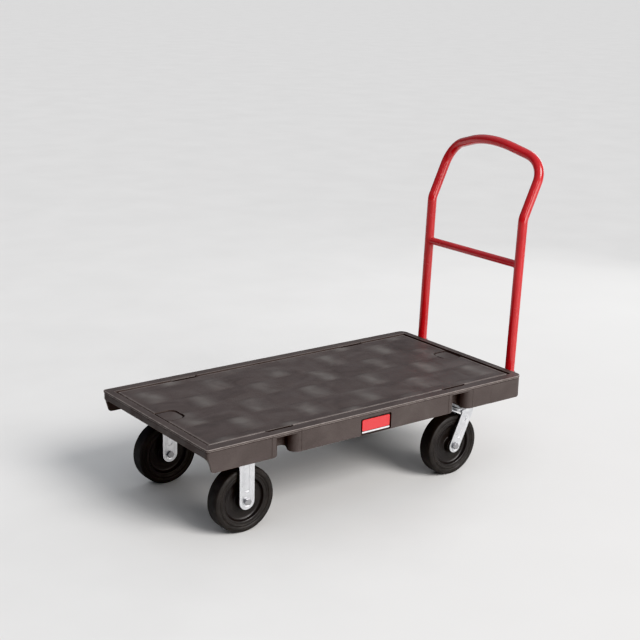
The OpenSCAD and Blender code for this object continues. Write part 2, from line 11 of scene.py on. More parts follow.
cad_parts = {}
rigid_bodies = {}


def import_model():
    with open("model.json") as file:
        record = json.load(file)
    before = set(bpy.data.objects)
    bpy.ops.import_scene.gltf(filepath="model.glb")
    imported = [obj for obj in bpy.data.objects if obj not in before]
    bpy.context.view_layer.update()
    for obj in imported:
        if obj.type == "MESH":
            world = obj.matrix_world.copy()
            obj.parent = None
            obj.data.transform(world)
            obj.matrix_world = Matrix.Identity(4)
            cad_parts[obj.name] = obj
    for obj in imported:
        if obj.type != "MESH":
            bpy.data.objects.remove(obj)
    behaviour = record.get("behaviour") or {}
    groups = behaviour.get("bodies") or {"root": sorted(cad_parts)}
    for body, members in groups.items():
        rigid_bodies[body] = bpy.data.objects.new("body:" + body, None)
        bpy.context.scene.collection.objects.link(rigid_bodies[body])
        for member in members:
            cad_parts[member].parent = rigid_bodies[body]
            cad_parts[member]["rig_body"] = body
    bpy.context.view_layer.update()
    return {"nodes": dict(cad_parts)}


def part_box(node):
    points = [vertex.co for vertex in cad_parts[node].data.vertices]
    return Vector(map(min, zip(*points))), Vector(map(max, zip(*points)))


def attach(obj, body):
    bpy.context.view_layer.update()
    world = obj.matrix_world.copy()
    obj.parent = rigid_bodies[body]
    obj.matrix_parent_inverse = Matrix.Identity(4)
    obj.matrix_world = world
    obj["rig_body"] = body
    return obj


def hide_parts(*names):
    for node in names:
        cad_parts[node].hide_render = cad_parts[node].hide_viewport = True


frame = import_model()

SIDES = {"left": -1, "right": 1}
MM = 0.001

# ---- Sizes, in millimetres ---------------------------

deck_low, deck_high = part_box("deck")
CENTRE_X = (deck_low.x + deck_high.x) / 2
HALF_L = (deck_high.x - deck_low.x) / 2 / MM
HALF_W = (deck_high.y - deck_low.y) / 2 / MM
DECK_TOP = deck_high.z / MM
SKIRT_Z = deck_low.z / MM

# The rim, its overhanging band, and its corners in plan
RIM_H = 14
RIM_END_W = 24
RIM_SIDE_W = 34
RIM_BOTTOM = DECK_TOP - RIM_H
BAND_H = 7
BAND_STEP = 2
BAND_Z = DECK_TOP - BAND_H
FRONT_R = 10
REAR_R = 26

# The field inside the rim, and the groove round it
FIELD_DROP = 2
PLATE_T = 8
FIELD_L = HALF_L - RIM_END_W
FIELD_W = HALF_W - RIM_SIDE_W
FIELD_TOP = DECK_TOP - FIELD_DROP
FIELD_BOTTOM = FIELD_TOP - PLATE_T
GROOVE_W = 6.5
GROOVE_FLOOR = FIELD_TOP - 3.6

# What hangs from the field ends about this high inside it, to fuse with it
FUSE_Z = FIELD_BOTTOM + 2

# Skirts, from BAND_STEP to INSIDE within the rim's edge, the front lip and the rope notches
WALL = 8
INSIDE = BAND_STEP + WALL
LIP_L = 24
LIP_Z = DECK_TOP - 30
FRONT_DRAFT_X = -HALF_L + 6
FRONT_ROUND_X = FRONT_DRAFT_X + 9
FRONT_ROUND = 12
REAR_ROUND = 20
NOTCH_X = 338
NOTCH_W = 43
NOTCH_DEPTH = 50
NOTCH_END_R = 28
NOTCH_BACK_R = 12
NOTCH_LIFT = 11
SLOT_L = 96
SLOT_W = 12
SLOT_Y = HALF_W - 38

# The rear corner panels, which stand proud, and the parting lines beside each rope notch
PANEL_X = 470
PANEL_STEP = 1.3
SEAM_FROM_NOTCH = 52
SEAM_DEPTH = 1.1

# Extra points on the skirts' outline: round the front corner, at a panel's edge and at a seam
ROUND_BREAKS = (-2, 0, 1.5, 4, 8, 12)
PANEL_BREAKS = (-2, 0, 2)
SEAM_BREAKS = (-1.5, 0, 1.5)

# Ribs, and half sizes of the caster pads and of their bolt pattern
RIB_T = 6
RIB_H = 10
RIB_BOTTOM = FIELD_BOTTOM - RIB_H
RIB_PITCH = (120, 98)
PAD_HALF = (55, 61)
PAD_Z = 242
BOLTS_HALF = (33.3, 46)
STIFFENER_Y = 220
SCREW_X = (-345, -120, 120, 320)

# The woven relief on the field, and the cells of its mesh in one strand
WEAVE_PITCH = 114
WEAVE_DEPTH = 2.0
WEAVE_CELLS = 20

# The D-shaped dishes at the field's ends: half sizes, corner radii and place
DISH_L = 34
DISH_W = 40
DISH_TIGHT_R = 6
DISH_WIDE_R = 24
DISH_X = FIELD_L - 39

# The label: its recess's margin, the moat round it and the strip at its foot
LABEL_MARGIN = 4
MOAT_W = 5
MOAT_DEPTH = 4
STRIP_H = 5
STRIP_GAP = 0.8

# How bright the painted highlights along the deck's edges are and how dark the painted shade in its hollows
# is, from 0 to 1
HIGHLIGHT_RIM_TOP = 0.8
HIGHLIGHT_BAND = 0.7
HIGHLIGHT_RIM_INSIDE = 0.45
HIGHLIGHT_GROOVE = 0.5
HIGHLIGHT_SKIRT = 0.25
SHADE_SLOT = 0.9
SHADE_GROOVE = 0.75

# Casters. A pressing runs from start to end above the axle, along the fork's lean.
# LEG_FACE is the shallow one that leaves a border standing round each leg.
ENDS = ("front", "rear")
FORK_T = 5
FORK_LEAN = {"front": 0, "rear": math.radians(24.5)}
LEG_FACE = {"start": -16, "end": 110, "half_w": 15.5, "depth": 1}
PRESSINGS = {
    "front": ({"start": 28, "end": 118, "half_w": 10, "depth": 2.4}, LEG_FACE),
    "rear": (
        {"start": 26, "end": 72, "half_w": 8, "depth": 2},
        {"start": 84, "end": 102, "half_w": 6, "depth": 3.6},
        LEG_FACE,
    ),
}

# The handle's tube and its raked legs, with LEG_X at the height of the deck's top
TUBE_R = 16
TUBE_WALL = 2.5
BORE_DEPTH = 21
LEG_X = HALF_L + 22
LEG_Y = 221.5
FOOT_Z = 246
RAKE = math.radians(1.85)

# The kick, and the leaning upper part up to its corners
KICK_Z = 813
KICK_R = 60
LEAN = math.radians(24.7)
UPPER_L = 127.5
CORNER_R = 82

# The bow: its slope up from each corner, how far it tips forward of the lean, and its crown
BOW_SLOPE = math.radians(18)
BOW_TIP = math.radians(57)
CROWN_R = 312

# The crossbar, and the rippled weld beads at its ends
BAR_Z = 661
BAR_R = 12.5
BEAD_R = 2.3
BEAD_RIPPLE = 0.35
BEAD_RIPPLES = 24

# The camera's place, direction and lens
VIEW_AZIMUTH = math.radians(37.15)
VIEW_ELEVATION = math.radians(15.99)
VIEW_ROLL = math.radians(1.41)
VIEW_PLACE = (-2367.75, -3123.4, 1641.31)
LENS = 72.84
SENSOR_W = 36


def placed(point):
    """A point written in millimetres from under the deck's middle, in the cart's frame."""
    x, y, z = point
    return Vector((x * MM + CENTRE_X, y * MM, z * MM))


def measured(point):
    """placed() undone: a point of the cart's frame, in millimetres from under the deck's middle."""
    return (point.x - CENTRE_X) / MM, point.y / MM, point.z / MM


def centre_of(node):
    """The middle of a CAD node's box, in millimetres from under the deck's middle."""
    low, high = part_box(node)
    return Vector(measured((low + high) / 2))


# ---- Materials ---------------------------------------

# The sockets of a Mix node set to colours. They share their names with others, so they go by number.
MIX_FACTOR, MIX_A, MIX_B = 0, 6, 7
MIX_RESULT = 2


class Surface:
    """A Principled material, with short names for the texture nodes used here."""

    def __init__(self, name, roughness, metallic=0.0):
        self.material = bpy.data.materials.new(name)
        self.material.use_nodes = True
        self.tree = self.material.node_tree
        self.shader = self.tree.nodes["Principled BSDF"]
        self.put("Roughness", roughness)
        self.put("Metallic", metallic)
        self.where = self.tree.nodes.new("ShaderNodeTexCoord").outputs["Object"]

    def put(self, socket, value):
        """Sets a socket of the shader, to a plain value or to another node's output."""
        if isinstance(value, bpy.types.NodeSocket):
            self.tree.links.new(value, self.shader.inputs[socket])
        else:
            self.shader.inputs[socket].default_value = value

    def noise(self, scale, detail, distortion=0.0, stretch=(1, 1, 1)):
        """A cloudy texture, scale cells to the metre, finer along an axis with a larger stretch."""
        mapping = self.tree.nodes.new("ShaderNodeMapping")
        mapping.inputs["Scale"].default_value = stretch
        self.tree.links.new(self.where, mapping.inputs["Vector"])
        node = self.tree.nodes.new("ShaderNodeTexNoise")
        node.inputs["Scale"].default_value = scale
        node.inputs["Detail"].default_value = detail
        node.inputs["Distortion"].default_value = distortion
        self.tree.links.new(mapping.outputs["Vector"], node.inputs["Vector"])
        return node.outputs["Fac"]

    def cells(self, scale):
        """A pebbled texture, scale cells to the metre."""
        node = self.tree.nodes.new("ShaderNodeTexVoronoi")
        node.inputs["Scale"].default_value = scale
        self.tree.links.new(self.where, node.inputs["Vector"])
        return node.outputs["Distance"]

    def ramp(self, factor, low, high, start=0.3, end=0.7):
        """Runs from low to high, greys or colours, as factor goes from start to end."""
        node = self.tree.nodes.new("ShaderNodeValToRGB")
        for stop, position, value in zip(node.color_ramp.elements, (start, end), (low, high)):
            colour = value if isinstance(value, tuple) else (value, value, value)
            stop.position = position
            stop.color = (*colour, 1)
        self.tree.links.new(factor, node.inputs["Fac"])
        return node.outputs["Color"]

    def mix(self, factor, first, second, blend="MIX"):
        """Mixes two colours, each a plain value or another node's output."""
        node = self.tree.nodes.new("ShaderNodeMix")
        node.data_type = "RGBA"
        node.blend_type = blend
        for index, value in ((MIX_FACTOR, factor), (MIX_A, first), (MIX_B, second)):
            socket = node.inputs[index]
            if isinstance(value, bpy.types.NodeSocket):
                self.tree.links.new(value, socket)
            elif isinstance(value, tuple):
                socket.default_value = (*value, 1)
            else:
                socket.default_value = value
        return node.outputs[MIX_RESULT]

    def painted(self, name):
        """A value painted on the mesh's points or faces."""
        node = self.tree.nodes.new("ShaderNodeAttribute")
        node.attribute_name = name
        return node.outputs["Fac"]

    def worn_edges(self, start=0.52, end=0.6):
        """1 on sharp convex edges, 0 on flats and in hollows."""
        geometry = self.tree.nodes.new("ShaderNodeNewGeometry")
        return self.ramp(geometry.outputs["Pointiness"], 0.0, 1.0, start, end)

    def bumps(self, *layers):
        """Chains bump layers, each a (height socket, depth in millimetres) pair."""
        normal = None
        for height, depth in layers:
            node = self.tree.nodes.new("ShaderNodeBump")
            node.inputs["Strength"].default_value = 1.0
            node.inputs["Distance"].default_value = depth * MM
            self.tree.links.new(height, node.inputs["Height"])
            if normal:
                self.tree.links.new(normal, node.inputs["Normal"])
            normal = node.outputs["Normal"]
        self.put("Normal", normal)


def deck_resin():
    """Charcoal structural foam: flow swirls, painted sheen on the weave's crowns, painted highlights along
    the edges, painted shade in the hollows.
    """
    dark, light = (0.064, 0.053, 0.050), (0.088, 0.074, 0.070)
    sheen_colour, highlight_colour, shade_colour = (0.145, 0.134, 0.126), (0.30, 0.265, 0.25), (0.020, 0.016, 0.015)
    s = Surface("deck_resin", 0.5)
    s.put("Specular IOR Level", 0.3)
    body = s.ramp(s.noise(5.5, detail=5, distortion=1.6, stretch=(1, 1.6, 1)), dark, light)
    speckle = s.ramp(s.noise(420, detail=2), 0.88, 1.10)
    body = s.mix(1.0, body, speckle, "MULTIPLY")
    patchy = s.ramp(s.noise(11, detail=6, distortion=0.6), 0.12, 0.9, start=0.36, end=0.66)
    # Painted sheen: a paler colour, in patches, on the crowns of the strands that run one way, where light
    # catches them
    body = s.mix(s.mix(1.0, s.painted("painted_sheen"), patchy, "MULTIPLY"), body, sheen_colour)
    broken = s.ramp(s.noise(55, detail=4), 0.45, 1.0)
    # Painted highlight: a pale colour, broken up by noise, in light lines along the rim's top edge, the
    # band, the rim's inner edge, the groove's lip and the skirts' lower edge
    body = s.mix(s.mix(1.0, s.painted("painted_highlight"), broken, "MULTIPLY"), body, highlight_colour)
    # Painted shade: a near-black colour on the slots' walls and on the groove's floor
    s.put("Base Color", s.mix(s.painted("painted_shade"), body, shade_colour))
    s.put("Roughness", s.ramp(s.noise(16, detail=4, distortion=0.8), 0.40, 0.56))
    s.bumps((s.noise(30, detail=3, distortion=0.6), 0.2), (s.noise(650, detail=2), 0.08))
    return s.material


def handle_paint():
    """Glossy red powder coat, a little paler on sharp edges."""
    dark, light, edge = (0.42, 0.015, 0.018), (0.49, 0.020, 0.023), (0.62, 0.06, 0.06)
    s = Surface("handle_paint", 0.27)
    colour = s.ramp(s.noise(14, detail=3), dark, light)
    s.put("Base Color", s.mix(s.worn_edges(0.55, 0.7), colour, edge))
    s.put("Roughness", s.ramp(s.noise(40, detail=3), 0.20, 0.28))
    s.put("Coat Weight", 0.6)
    s.put("Coat Roughness", 0.08)
    s.bumps((s.noise(420, detail=2), 0.012))
    return s.material


def plated(name, dark, light, rough, grain=(1, 1, 1)):
    """A metal with the cloudy bloom, fine grain and rubbed edges of electroplated steel."""
    s = Surface(name, rough[0], metallic=1.0)
    colour = s.ramp(s.noise(55, detail=5, distortion=0.7), dark, light)
    grit = s.ramp(s.noise(900, detail=2, stretch=grain), 0.95, 1.04)
    colour = s.mix(1.0, colour, grit, "MULTIPLY")
    bright = tuple(min(1.0, 1.12 * c) for c in light)
    s.put("Base Color", s.mix(s.worn_edges(), colour, bright))
    s.put("Roughness", s.ramp(s.noise(110, detail=4), *rough))
    s.bumps((s.noise(700, detail=2, stretch=grain), 0.008), (s.noise(40, detail=3), 0.02))
    return s.material


def tyre_rubber():
    """Black rubber with patches of dust."""
    dark, light, dusty = (0.009, 0.008, 0.0076), (0.015, 0.0135, 0.0125), (0.034, 0.029, 0.026)
    s = Surface("tyre_rubber", 0.6)
    dust = s.ramp(s.noise(28, detail=6, distortion=0.5), 0.0, 0.6, start=0.45, end=0.8)
    body = s.ramp(s.noise(320, detail=2), dark, light)
    s.put("Base Color", s.mix(dust, body, dusty))
    s.put("Roughness", s.ramp(s.noise(45, detail=4), 0.5, 0.68))
    s.bumps((s.noise(800, detail=2), 0.05), (s.noise(60, detail=2), 0.08))
    return s.material


def moulded_plastic(name, dark, light, rough, grain):
    """A dull plastic with flow marks, pale sharp edges and a fine pebbled grain."""
    edge = tuple(2.2 * c for c in light)
    s = Surface(name, rough[0])
    body = s.ramp(s.noise(24, detail=5, distortion=0.9), dark, light)
    s.put("Base Color", s.mix(s.worn_edges(), body, edge))
    s.put("Roughness", s.ramp(s.noise(70, detail=3), *rough))
    s.bumps((s.noise(grain, detail=2), 0.04), (s.cells(grain / 3), 0.02))
    return s.material


def label_gloss(name, colour):
    """A printed film under a clear coat."""
    s = Surface(name, 0.25)
    s.put("Base Color", s.ramp(s.noise(25, detail=2), tuple(0.96 * c for c in colour), colour))
    s.put("Coat Weight", 0.6)
    s.put("Roughness", s.ramp(s.noise(60, detail=2), 0.22, 0.27))
    return s.material


def studio_floor():
    s = Surface("studio_floor", 0.6)
    s.put("Base Color", s.ramp(s.noise(3, detail=4), (0.70, 0.70, 0.69), (0.73, 0.73, 0.72)))
    s.put("Specular IOR Level", 0.2)
    return s.material


RESIN = deck_resin()
PAINT = handle_paint()
ZINC = plated(
    "zinc_plate", dark=(0.66, 0.67, 0.69), light=(0.77, 0.78, 0.80), rough=(0.27, 0.36), grain=(1, 1, 0.15)
)
BOLT = plated("bolt_steel", dark=(0.27, 0.27, 0.28), light=(0.40, 0.40, 0.41), rough=(0.28, 0.44))
STEEL = plated(
    "plain_steel", dark=(0.36, 0.36, 0.37), light=(0.50, 0.50, 0.51), rough=(0.34, 0.52), grain=(0.1, 1, 1)
)
BRASS = plated("brass", dark=(0.62, 0.44, 0.17), light=(0.78, 0.58, 0.25), rough=(0.24, 0.36))
TYRE = tyre_rubber()
CORE = moulded_plastic(
    "wheel_core", dark=(0.010, 0.009, 0.009), light=(0.018, 0.016, 0.015), rough=(0.36, 0.5), grain=700
)
PLUG = moulded_plastic(
    "black_plastic", dark=(0.012, 0.012, 0.012), light=(0.020, 0.020, 0.020), rough=(0.42, 0.55), grain=900
)
LABEL = label_gloss("label_red", (0.62, 0.035, 0.04))
STRIP = label_gloss("label_silver", (0.72, 0.72, 0.74))


# ---- Mesh helpers ------------------------------------


def circle(steps):
    """The angles of a full circle, in equal steps."""
    return [2 * math.pi * i / steps for i in range(steps)]


def smooth(value, low, high):
    """Goes from 0 to 1 with soft ends as value goes from low to high."""
    t = min(1.0, max(0.0, (value - low) / (high - low)))
    return t * t * (3 - 2 * t)


def link(name, bm):
    """Turns a bmesh into an object in the scene."""
    bmesh.ops.recalc_face_normals(bm, faces=bm.faces)
    mesh = bpy.data.meshes.new(name)
    bm.to_mesh(mesh)
    bm.free()
    piece = bpy.data.objects.new(name, mesh)
    bpy.context.scene.collection.objects.link(piece)
    return piece


def finish_piece(piece, material, body, slot, *nodes, sharp=38):
    """Gives a piece its shading, material and body, and hides the CAD nodes it stands for. slot is not
    used.
    """
    mesh = piece.data
    mesh.materials.clear()
    mesh.materials.append(material)
    for polygon in mesh.polygons:
        polygon.use_smooth = True
    mesh.set_sharp_from_angle(angle=math.radians(sharp))
    weighted = piece.modifiers.new("weighted_normals", "WEIGHTED_NORMAL")
    weighted.keep_sharp = True
    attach(piece, body)
    if nodes:
        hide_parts(*nodes)
    return piece


def bridge(bm, loops, around=False):
    """Skins closed loops of equal length, and joins the last to the first if around is set."""
    rows = [[bm.verts.new(placed(point)) for point in loop] for loop in loops]
    pairs = list(zip(rows, rows[1:]))
    if around:
        pairs.append((rows[-1], rows[0]))
    for first, second in pairs:
        for i in range(len(first)):
            j = (i + 1) % len(first)
            bm.faces.new((first[i], first[j], second[j], second[i]))
    return rows


def skinned(bm, loops):
    """A closed solid through a stack of loops, with flat ends."""
    rows = bridge(bm, loops)
    bm.faces.new(rows[0])
    bm.faces.new(rows[-1])


def turned_y(bm, centre, section, steps=128):
    """Turns a closed (radius, offset) section about the Y axis through centre."""
    loops = [[centre + Vector((radius * math.cos(a), offset, radius * math.sin(a))) for a in circle(steps)]
             for radius, offset in section]
    bridge(bm, loops, around=True)


def turned_z(bm, centre, section, steps=32):
    """Turns an open (radius, height) section about the Z axis and closes its two ends."""
    loops = [[(centre[0] + radius * math.cos(a), centre[1] + radius * math.sin(a), height)
              for a in circle(steps)] for radius, height in section]
    skinned(bm, loops)


def rounded_rect(half_x, half_y, radii, z, centre=(0, 0), steps=6, splits=(1, 1)):
    """A rounded rectangle from its low corner round by +X, with radii in the same order.

    splits says into how many parts the sides along X and along Y are cut.
    """
    spots = ((-1, -1, 180), (1, -1, 270), (1, 1, 0), (-1, 1, 90))
    points = []
    for (sx, sy, start), r in zip(spots, radii):
        cx = centre[0] + sx * (half_x - r)
        cy = centre[1] + sy * (half_y - r)
        for i in range(steps + 1):
            a = math.radians(start + 90 * i / steps)
            points.append((cx + r * math.cos(a), cy + r * math.sin(a), z))
    if splits == (1, 1):
        return points
    split = []
    for i, point in enumerate(points):
        split.append(point)
        if i % (steps + 1) == steps:
            after = points[(i + 1) % len(points)]
            count = splits[0] if (i // (steps + 1)) % 2 == 0 else splits[1]
            split += [tuple(Vector(point).lerp(Vector(after), k / count)) for k in range(1, count)]
    return split


def boolean(piece, others, operation):
    """Fuses others with piece, or cuts them out of it, and removes them."""
    for other in others:
        modifier = piece.modifiers.new(operation.lower(), "BOOLEAN")
        modifier.operation = operation
        modifier.solver = "MANIFOLD"
        modifier.object = other
    bpy.context.view_layer.update()
    made = piece.evaluated_get(bpy.context.evaluated_depsgraph_get())
    mesh = bpy.data.meshes.new_from_object(made)
    piece.modifiers.clear()
    piece.data = mesh
    for other in others:
        bpy.data.objects.remove(other)
    return piece


def softened(node, material, slot, width, cutters=()):
    """A copy of a CAD node with its flat faces merged, pressings cut and every edge rounded."""
    same_point, flat, crease = 2e-6, math.radians(1.2), math.radians(32)
    source = frame["nodes"][node]
    bm = bmesh.new()
    bm.from_mesh(source.data)
    bmesh.ops.remove_doubles(bm, verts=bm.verts, dist=same_point)
    piece = link(node + "_detailed", bm)
    if cutters:
        boolean(piece, cutters, "DIFFERENCE")
    bm = bmesh.new()
    bm.from_mesh(piece.data)
    bmesh.ops.dissolve_limit(bm, angle_limit=flat, verts=bm.verts, edges=bm.edges)
    edges = [e for e in bm.edges if e.is_manifold and e.calc_face_angle(0) > crease]
    bmesh.ops.bevel(bm, geom=edges, offset=width * MM, segments=2, profile=0.6, affect="EDGES",
                    clamp_overlap=True)
    bm.to_mesh(piece.data)
    bm.free()
    return finish_piece(piece, material, source["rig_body"], slot, node)


# ---- The deck ----------------------------------------


def rim_solid():
    """The raised rim: an overhanging band outside, a crisp inner edge and soft top edges."""
    steps, splits, inner_r = 8, (60, 30), 2

    def outer(inset, z):
        radii = (FRONT_R - inset, REAR_R - inset, REAR_R - inset, FRONT_R - inset)
        return rounded_rect(HALF_L - inset, HALF_W - inset, radii, z, steps=steps, splits=splits)

    def inner(spread, z):
        radii = [inner_r + spread] * 4
        return rounded_rect(FIELD_L + spread, FIELD_W + spread, radii, z, steps=steps, splits=splits)

    bm = bmesh.new()
    bridge(bm, [
        outer(BAND_STEP + 1.5, RIM_BOTTOM), outer(BAND_STEP + 1.5, BAND_Z - 0.3), outer(0.6, BAND_Z),
        outer(0, BAND_Z + 0.7), outer(0, BAND_Z + 1.8), outer(0, BAND_Z + 2.2), outer(0, DECK_TOP - 2.2),
        outer(0.2, DECK_TOP - 1.2), outer(0.8, DECK_TOP - 0.4), outer(1.9, DECK_TOP), outer(2.4, DECK_TOP),
        outer(4.5, DECK_TOP), inner(2.6, DECK_TOP), inner(1.1, DECK_TOP), inner(0.3, DECK_TOP - 0.3),
        inner(0, DECK_TOP - 1.1), inner(0, RIM_BOTTOM),
    ], around=True)
    return link("rim", bm)


def weave_cell(x, y):
    """Place in one square of the weave, from -1 to 1 both ways, and if its strand is turned."""
    column, row = math.floor(x / WEAVE_PITCH), math.floor(y / WEAVE_PITCH)
    along = 2 * (x / WEAVE_PITCH - column) - 1
    across = 2 * (y / WEAVE_PITCH - row) - 1
    return along, across, (column + row) % 2


def weave(x, y):
    """Depth of the woven relief: 0 on each strand's crown, -WEAVE_DEPTH where strands meet."""
    along, across, turned = weave_cell(x, y)
    if turned:
        along, across = across, along
    return WEAVE_DEPTH * (math.cos(math.pi * along / 2) * (1 - across**8) - 1)


def sheen_on_crown(x, y):
    """How strong the painted sheen is: 1 in the middle of each square that isn't turned, 0 at its edges and
    elsewhere.
    """
    along, across, turned = weave_cell(x, y)
    border = GROOVE_W + 6
    if turned or min(FIELD_L - abs(x), FIELD_W - abs(y)) < border:
        return 0
    return math.cos(math.pi * along / 2) ** 3 * (1 - across**6)


def rim_inset(x, y):
    """Distance of a point in plan inside the rim's outer edge."""
    r = FRONT_R if x < 0 else REAR_R
    qx, qy = abs(x) - HALF_L + r, abs(y) - HALF_W + r
    return r - math.hypot(max(qx, 0), max(qy, 0)) - min(max(qx, qy), 0)


def field_height(x, y):
    """Height of the field: the groove's floor, a soft lip, and the weave as it fades in."""
    inward = min(FIELD_L - abs(x), FIELD_W - abs(y)) - GROOVE_W
    lip = smooth(inward, -0.2, 2.5)
    return GROOVE_FLOOR + (FIELD_TOP - GROOVE_FLOOR) * lip + weave(x, y) * smooth(inward, 2, 16)


def field_lines(half):
    """Grid lines across the field: close together at the groove, then evenly over the weave."""
    edge = [-1, GROOVE_W - 0.2, GROOVE_W + 0.4, GROOVE_W + 1.1, GROOVE_W + 2.5]
    step = WEAVE_PITCH / WEAVE_CELLS
    count = math.floor((half - edge[-1] - 1) / step)
    low = [d - half for d in edge]
    return low + [i * step for i in range(-count, count + 1)] + [-v for v in reversed(low)]


def field_solid():
    """The load-carrying plate, with the groove round it and the woven relief on top."""
    xs, ys = field_lines(FIELD_L), field_lines(FIELD_W)
    bm = bmesh.new()
    top = [[bm.verts.new(placed((x, y, field_height(x, y)))) for x in xs] for y in ys]
    for low, high in zip(top, top[1:]):
        for i in range(len(xs) - 1):
            bm.faces.new((low[i], low[i + 1], high[i + 1], high[i]))
    border = top[0][:-1] + [row[-1] for row in top[:-1]] + top[-1][:0:-1] + [row[0] for row in top[:0:-1]]
    base = [bm.verts.new(Vector((v.co.x, v.co.y, FIELD_BOTTOM * MM))) for v in border]
    for i in range(len(border)):
        j = (i + 1) % len(border)
        bm.faces.new((border[j], border[i], base[i], base[j]))
    bm.faces.new(base)
    return link("field", bm)


def notch_corners(x):
    """The four arcs of a rope notch in the left skirt: centre, radius, angles, and if it is hollow."""
    face = -HALF_W + BAND_STEP
    end_y = face + NOTCH_END_R
    back_y = face + NOTCH_DEPTH - NOTCH_BACK_R
    ends = NOTCH_W / 2 + NOTCH_END_R
    backs = NOTCH_W / 2 - NOTCH_BACK_R
    end_r = NOTCH_END_R + BAND_STEP
    back_r = NOTCH_BACK_R - BAND_STEP
    return [
        (x - ends, end_y, end_r, 270, 360, False), (x - backs, back_y, back_r, 180, 90, True),
        (x + backs, back_y, back_r, 90, 0, True), (x + ends, end_y, end_r, 180, 270, False),
    ]


def break_points(x, offsets):
    """Plain points on the left side near x, written as arcs with no sweep."""
    return [(x + offset, -HALF_W + REAR_R, REAR_R, 270, 270, False) for offset in offsets]


def skirt_corners():
    """The arcs of the skirts' outline in order, as notch_corners() writes them."""
    left = break_points(FRONT_ROUND_X, ROUND_BREAKS)
    for notch_x in (-NOTCH_X, NOTCH_X):
        left += break_points(notch_x - SEAM_FROM_NOTCH, SEAM_BREAKS)
        left += notch_corners(notch_x)
        left += break_points(notch_x + SEAM_FROM_NOTCH, SEAM_BREAKS)
    left += break_points(PANEL_X, PANEL_BREAKS)
    right = [(x, -y, r, 360 - b, 360 - a, hollow) for x, y, r, a, b, hollow in reversed(left)]
    return (
        [(-HALF_L + FRONT_R, -HALF_W + FRONT_R, FRONT_R, 180, 270, False)] + left
        + [(HALF_L - REAR_R, -HALF_W + REAR_R, REAR_R, 270, 360, False),
           (HALF_L - REAR_R, HALF_W - REAR_R, REAR_R, 0, 90, False)]
        + right + [(-HALF_L + FRONT_R, HALF_W - FRONT_R, FRONT_R, 90, 180, False)]
    )


def skirt_loop(inset):
    """The skirts' plan outline at a distance inside the rim's edge, with the same points at every inset."""
    arc_steps, spacing, least_r = 8, 14, 0.5

    def on_arc(corner, degrees):
        cx, cy, r, _, _, hollow = corner
        radius = r + inset if hollow else max(r - inset, least_r)
        a = math.radians(degrees)
        return Vector((cx + radius * math.cos(a), cy + radius * math.sin(a)))

    corners = skirt_corners()
    points = []
    for corner, after in zip(corners, corners[1:] + corners[:1]):
        start, end = corner[3:5]
        steps = 0 if start == end else arc_steps
        points += [on_arc(corner, start + (end - start) * i / max(steps, 1)) for i in range(steps + 1)]
        target = on_arc(after, after[3])
        count = max(1, round(math.dist(corner[:2], after[:2]) / spacing))
        points += [points[-1].lerp(target, k / count) for k in range(1, count)]
    return points


def skirt_bottom(x, y):
    """Height of the skirts' lower edge: the shallow front lip, its drafted ends and the round rear."""
    across = abs(y)
    if x < -HALF_L + LIP_L and across < HALF_W - BAND_STEP - WALL - 0.5:
        return LIP_Z
    low = SKIRT_Z
    round_x = FRONT_ROUND_X + FRONT_ROUND
    if x < FRONT_DRAFT_X:
        low = LIP_Z
    elif x < FRONT_ROUND_X:
        t = (x - FRONT_DRAFT_X) / (FRONT_ROUND_X - FRONT_DRAFT_X)
        low = LIP_Z + (SKIRT_Z + FRONT_ROUND - LIP_Z) * t
    elif x < round_x:
        low = SKIRT_Z + FRONT_ROUND - math.sqrt(max(0, FRONT_ROUND**2 - (round_x - x) ** 2))
    elif x > HALF_L - REAR_ROUND:
        low = SKIRT_Z + REAR_ROUND - math.sqrt(max(0, REAR_ROUND**2 - (x - HALF_L + REAR_ROUND) ** 2))
    near_notch = abs(abs(x) - NOTCH_X) < NOTCH_W / 2 + WALL + 6
    mouth, shoulder = HALF_W - NOTCH_END_R, HALF_W - 44
    if near_notch and across < mouth:
        low = max(low, SKIRT_Z + NOTCH_LIFT * (1 - smooth(across, shoulder, mouth)))
    return low


def skirt_solid():
    """The skirts: one wall with a soft lower edge, wrapped round the deck and into the notches."""
    top = FUSE_Z - 1
    # Inset, and height above the lower edge, or None at the top
    levels = [
        (BAND_STEP, None), (BAND_STEP, 40), (BAND_STEP, 6), (BAND_STEP, 2.2), (BAND_STEP + 0.6, 0.7),
        (BAND_STEP + 2, 0), (INSIDE - 2, 0), (INSIDE - 0.6, 0.7), (INSIDE, 2.2), (INSIDE, None),
    ]
    loops = []
    for inset, lift in levels:
        loop = []
        for x, y in skirt_loop(inset):
            z = top if lift is None else min(skirt_bottom(x, y) + lift, top - 4)
            proud = 0
            if inset < INSIDE - 2 and abs(y) > HALF_W - NOTCH_END_R:
                in_seam = abs(abs(abs(x) - NOTCH_X) - SEAM_FROM_NOTCH) < 0.1
                proud = PANEL_STEP * smooth(x, PANEL_X - 2, PANEL_X + 2) - SEAM_DEPTH * in_seam
            loop.append((x, y + math.copysign(proud, y), z))
        loops.append(loop)
    bm = bmesh.new()
    bridge(bm, loops, around=True)
    return link("skirt", bm)


def bar_solid(bm, start, end, across, half, low, high):
    """A drafted, round-edged rib from start to end. across is the way its thickness runs."""
    section = [(-half - 0.7, high), (-half, low + 1.2), (-half + 0.7, low + 0.3), (-half + 1.8, low),
               (half - 1.8, low), (half - 0.7, low + 0.3), (half, low + 1.2), (half + 0.7, high)]
    loops = [[(end_xy[0] + across[0] * t, end_xy[1] + across[1] * t, z) for t, z in section]
             for end_xy in (start, end)]
    skinned(bm, loops)


